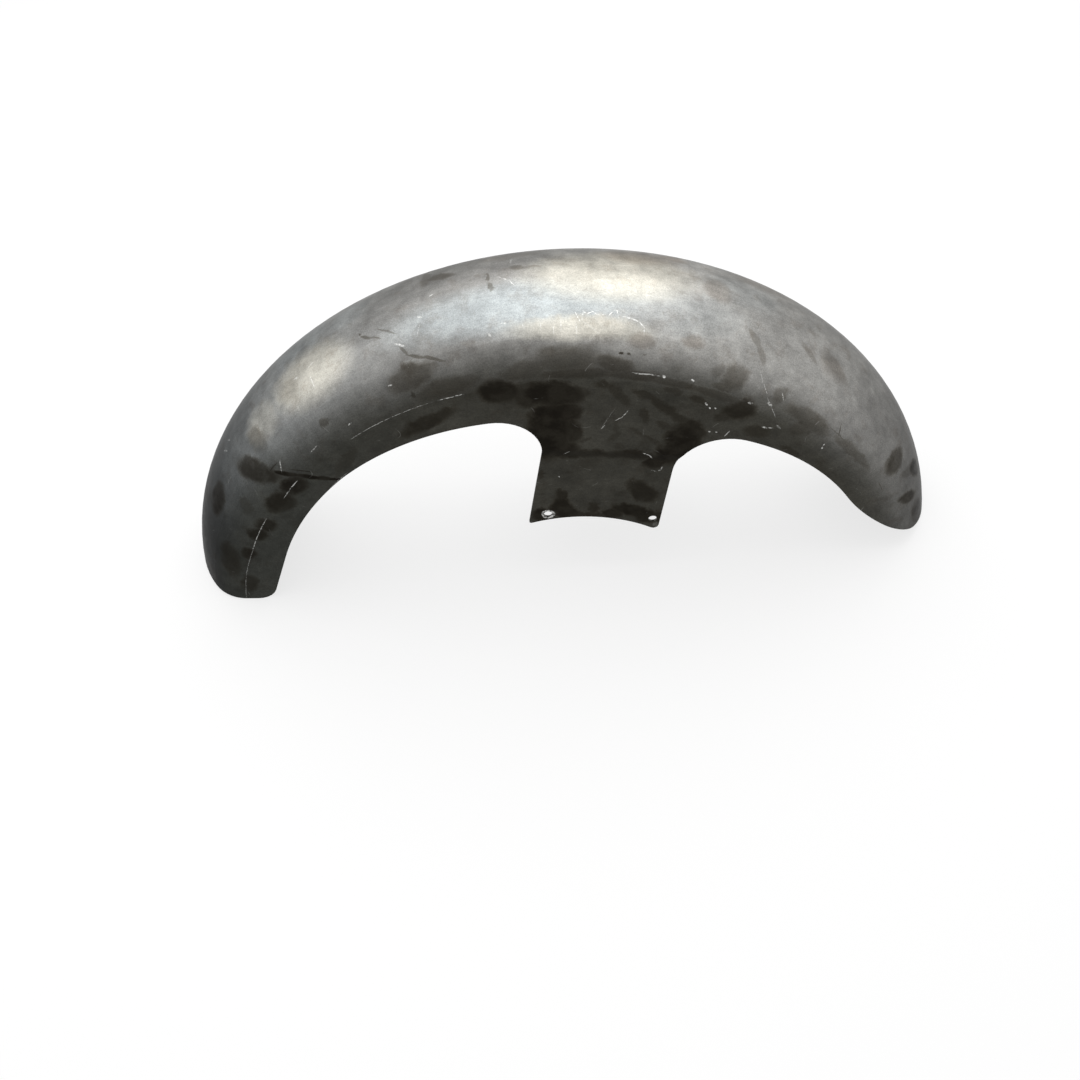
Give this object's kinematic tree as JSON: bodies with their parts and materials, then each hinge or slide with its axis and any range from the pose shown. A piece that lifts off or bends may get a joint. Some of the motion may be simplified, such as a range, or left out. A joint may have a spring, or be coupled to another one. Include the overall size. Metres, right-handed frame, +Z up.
{
  "type": "motorcycle front fender",
  "caption": "Bare steel front fender for a narrow motorcycle wheel: a round-crowned channel with tapered ends and a drilled mounting leg on each side",
  "frame": {"origin": "centre of the bounding box in plan, on the surface that the tip and the tail's corners stand on", "axes": "+X runs along the fender from the tail to the front tip, +Y across it to the far side, +Z up; the wheel axis runs along Y, 37.1 mm below the origin's plane"},
  "size_m": [0.7454, 0.141, 0.3379],
  "materials": {
    "bare_steel": "bare pressed sheet steel, unpainted, with dark oil smudges, fine scratches and bare cut edges"
  },
  "bodies": {
    "root": {"fender_shell": "bare_steel"}
  },
  "joints": []
}
